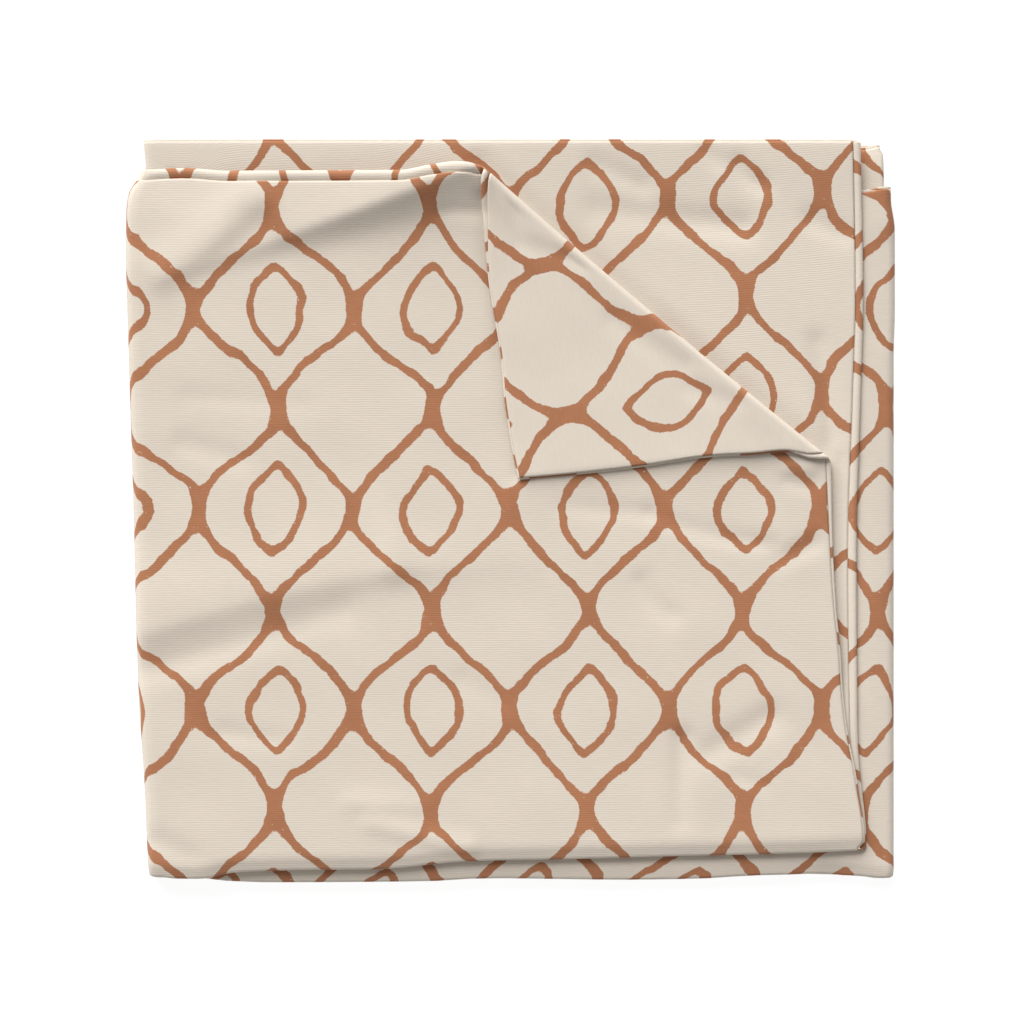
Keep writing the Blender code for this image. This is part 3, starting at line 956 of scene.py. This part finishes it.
def printed_cotton(look):
    """Cream ribbed cotton with a terracotta block print. Places and widths are millimetres."""
    shader = Shader("printed cotton")
    flat = shader.add("ShaderNodeUVMap", {"uv_map": "flat cloth"}).output()
    split = shader.add("ShaderNodeSeparateXYZ", {}, flat)
    x, y = split.amount(0) / MM, split.amount(1) / MM

    # The printed lines wander by several millimetres and shake by one or two
    drift = shader.add("ShaderNodeSeparateColor", {}, shader.noise(flat, 14.0).output(1))
    shake = shader.add("ShaderNodeSeparateColor", {}, shader.noise(flat, 70.0).output(1))
    print_x = x + (drift.amount(0) - 0.5) * 15.0 + (shake.amount(0) - 0.5) * 3.0
    print_y = y + (drift.amount(1) - 0.5) * 15.0 + (shake.amount(1) - 0.5) * 3.0
    inside = ogee_print(shader, print_x, print_y, look)
    # Their edges are ragged and their width uneven, and the ink skips near its edges
    ragged = (shader.noise(flat, 420.0, 2.0, 0.6).amount() - 0.5) * 1.1
    uneven = (shader.noise(flat, 95.0, 1.0).amount() - 0.5) * 1.7
    inside = inside + ragged + uneven
    covered = (inside / 0.5).math("ADD", 0.5, clamp=True)
    skips = (shader.noise(flat, 330.0, 2.0, 0.6).amount() - 0.72) * 14.0
    near_edge = (3.4 - inside).math("MULTIPLY", 0.5, clamp=True)
    skips = (skips * near_edge).math("MULTIPLY", 1.0, clamp=True)
    ink = covered * (1.0 - skips * 0.7)

    # Ribs run along x, over yarns of uneven thickness and a fine fuzz
    weave_sway = (shader.noise(flat, 55.0, 1.0).amount() - 0.5) * 0.9
    rib_phase = (y + weave_sway) * (2 * math.pi * MM / look.rib)
    ribs = rib_phase.math("SINE") * 0.5 + 0.5
    yarn_place = shader.place(x * 0.11, y * 0.62)
    yarns = shader.noise(yarn_place, 1.0, 3.0, 0.65).amount()
    fuzz = shader.noise(flat, 1500.0, 2.0, 0.7).amount()

    # The ground and the ink each vary a little in tone, with the yarns
    patch = shader.noise(flat, 9.0, 3.0).amount()
    shade = 1.0 + (patch - 0.5) * 0.05 + (yarns - 0.5) * 0.1 + (ribs - 0.5) * 0.02
    shade = shade + (fuzz - 0.5) * 0.06
    ink_patch = shader.noise(flat, 28.0, 3.0, 0.6).amount()
    ink_shade = 1.0 + (ink_patch - 0.5) * 0.3 + (yarns - 0.5) * 0.16
    tint = shader.blend(ink, (*look.ground, 1.0), (*look.ink, 1.0))
    shading = shade * (1.0 - ink) + ink_shade * ink
    scaled = shader.add("ShaderNodeVectorMath", {"operation": "SCALE"}, tint)
    shader.fill(scaled.node.inputs["Scale"], shading)

    height = ribs * (patch + 0.1) * 0.7 + yarns * 0.5 + fuzz * 0.25
    bump = shader.add("ShaderNodeBump", {}, Strength=0.45, Distance=0.00028, Height=height)
    surface = shader.surface
    shader.fill(surface.inputs["Base Color"], scaled.output())
    shader.fill(surface.inputs["Roughness"], look.roughness - ink * 0.06)
    shader.fill(surface.inputs["Normal"], bump.output())
    surface.inputs["Metallic"].default_value = 0.0
    surface.inputs["Specular IOR Level"].default_value = 0.25
    surface.inputs["Sheen Weight"].default_value = 0.12
    surface.inputs["Sheen Roughness"].default_value = 0.6
    return shader.material


class FoldCloth(bpy.types.Operator):
    """Fold the printed cloth, turn its corner back and give it its hems, print and weave"""

    bl_idname = "folded_cloth.fold_cloth"
    bl_label = "Fold the cloth"

    def execute(self, context):
        sizes = context.scene.cloth_sizes
        remove_piece(CLOTH)
        mesh, thickness = make_sheet(sizes)
        mesh.materials.append(printed_cotton(context.scene.print_look))
        cloth = bpy.data.objects.new(CLOTH, mesh)
        context.scene.collection.objects.link(cloth)
        group = cloth.vertex_groups.new(name="thickness")
        shares = np.round(thickness / THICKEST, 4)
        for share in np.unique(shares):
            which = np.flatnonzero(shares == share)
            group.add(which.tolist(), float(share), "REPLACE")
        solid = cloth.modifiers.new("thickness", "SOLIDIFY")
        solid.thickness = THICKEST
        solid.offset = 0.0
        solid.use_rim = True
        solid.use_quality_normals = True
        solid.vertex_group = group.name
        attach(cloth, "root")
        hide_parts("cloth")
        return {"FINISHED"}


class SetStage(bpy.types.Operator):
    """Lay the pale floor and set the soft light and the camera above the cloth"""

    bl_idname = "folded_cloth.set_stage"
    bl_label = "Set the stage"

    def execute(self, context):
        look = context.scene.stage_look
        scene = context.scene
        for name in ("floor", "softbox", "camera"):
            remove_piece(name)

        shader = Shader("pale floor")
        speckle = shader.noise(shader.add("ShaderNodeTexCoord", {}).output(3), 40.0).amount()
        tone = (speckle - 0.5) * 0.01 + 1.0
        scaled = shader.add("ShaderNodeVectorMath", {"operation": "SCALE"}, tuple(look.floor))
        shader.fill(scaled.node.inputs["Scale"], tone)
        shader.fill(shader.surface.inputs["Base Color"], scaled.output())
        shader.surface.inputs["Roughness"].default_value = 0.95
        shader.surface.inputs["Specular IOR Level"].default_value = 0.0
        shader.surface.inputs["Emission Color"].default_value = (1.0, 1.0, 1.0, 1.0)
        shader.surface.inputs["Emission Strength"].default_value = look.glow
        mesh = bpy.data.meshes.new("floor")
        corners = np.array(((-1, -1), (1, -1), (1, 1), (-1, 1))) * FLOOR_HALF
        corners = np.column_stack((corners, np.full(4, FLOOR_Z)))
        mesh.from_pydata(corners, [], [(0, 1, 2, 3)])
        mesh.materials.append(shader.material)
        floor = bpy.data.objects.new("floor", mesh)
        scene.collection.objects.link(floor)

        world = scene.world or bpy.data.worlds.new("pale room")
        scene.world = world
        world.use_nodes = True
        sky = world.node_tree.nodes["Background"]
        sky.inputs["Color"].default_value = (1.0, 1.0, 1.0, 1.0)
        sky.inputs["Strength"].default_value = look.sky

        light = bpy.data.lights.new("softbox", "SUN")
        light.energy, light.angle = look.softbox, look.softbox_spread
        softbox = bpy.data.objects.new("softbox", light)
        reach, rise = math.cos(look.softbox_height), math.sin(look.softbox_height)
        softbox.location = np.array(SOFTBOX_AT) * (reach, reach, rise)
        softbox.rotation_euler = softbox.location.to_track_quat("Z", "Y").to_euler()
        scene.collection.objects.link(softbox)

        lens = bpy.data.cameras.new("camera")
        lens.sensor_width = SENSOR_WIDTH
        lens.lens = look.lens
        camera = bpy.data.objects.new("camera", lens)
        distance = look.frame_width * look.lens / lens.sensor_width
        camera.location = LOOK_AT + (0.0, 0.0, distance)
        scene.collection.objects.link(camera)
        scene.camera = camera
        scene.view_settings.view_transform = "Standard"
        return {"FINISHED"}


class ClothPanel(bpy.types.Panel):
    """The folded cloth's sizes and its steps"""

    bl_idname = "VIEW3D_PT_folded_cloth"
    bl_label = "Folded Cloth"
    bl_space_type = "VIEW_3D"
    bl_region_type = "UI"
    bl_category = "Folded Cloth"

    def draw(self, context):
        for group, operator in (
            (context.scene.cloth_sizes, None),
            (context.scene.print_look, FoldCloth),
            (context.scene.stage_look, SetStage),
        ):
            box = self.layout.box()
            for name in group.__annotations__:
                box.prop(group, name)
            if operator:
                box.operator(operator.bl_idname)


CLASSES = (ClothSizes, PrintLook, StageLook, FoldCloth, SetStage, ClothPanel)


def register():
    for cls in CLASSES:
        bpy.utils.register_class(cls)
    bpy.types.Scene.cloth_sizes = PointerProperty(type=ClothSizes)
    bpy.types.Scene.print_look = PointerProperty(type=PrintLook)
    bpy.types.Scene.stage_look = PointerProperty(type=StageLook)


def unregister():
    del bpy.types.Scene.stage_look
    del bpy.types.Scene.print_look
    del bpy.types.Scene.cloth_sizes
    for cls in reversed(CLASSES):
        bpy.utils.unregister_class(cls)


def main():
    register()
    bpy.ops.folded_cloth.set_stage()
    bpy.ops.folded_cloth.fold_cloth()


if __name__ == "__main__":
    main()
